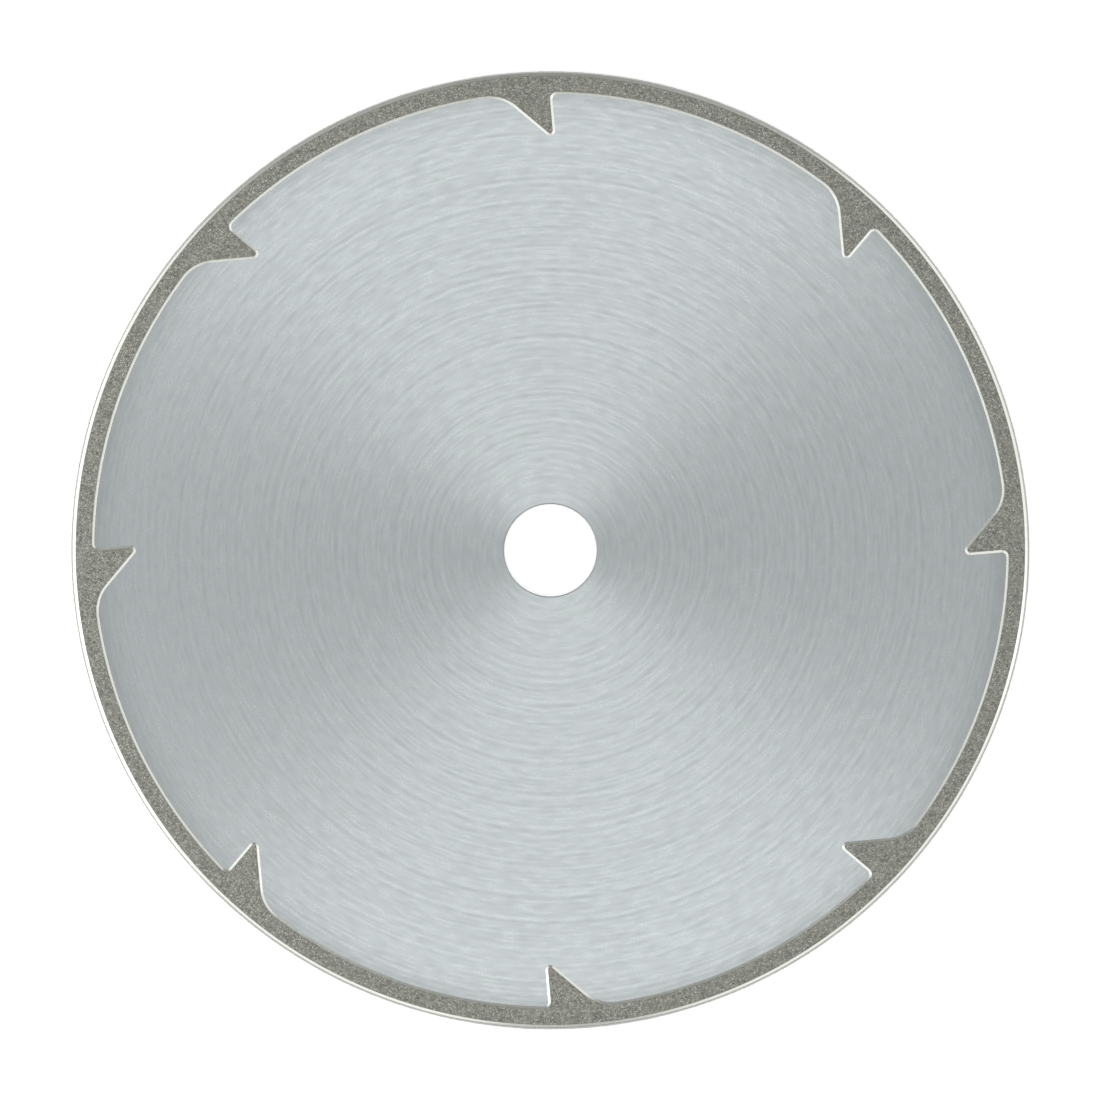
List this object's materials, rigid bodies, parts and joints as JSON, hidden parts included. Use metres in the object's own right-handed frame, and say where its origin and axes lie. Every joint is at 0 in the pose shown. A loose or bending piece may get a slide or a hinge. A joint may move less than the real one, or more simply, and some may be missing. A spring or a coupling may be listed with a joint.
{
  "type": "diamond cutting disc",
  "caption": "Flat steel grinder disc with a round bore, its rim wrapped in nickel-bonded diamond grit that forms hooked fins on both faces.",
  "frame": {"origin": "middle of the disc's lower side, on the surface that it lies on", "axes": "+Z is the axis of turning; +X and +Y lie in the plane of the disc, with one fin pointing inwards from +Y"},
  "size_m": [0.23, 0.23, 0.0028],
  "materials": {
    "core_steel": "ground in rings about the bore, bare",
    "diamond_nickel": "diamond grit held in nickel, with bright smooth edges"
  },
  "bodies": {
    "root": {"steel_core": "core_steel", "diamond_rim": "diamond_nickel"}
  },
  "joints": []
}
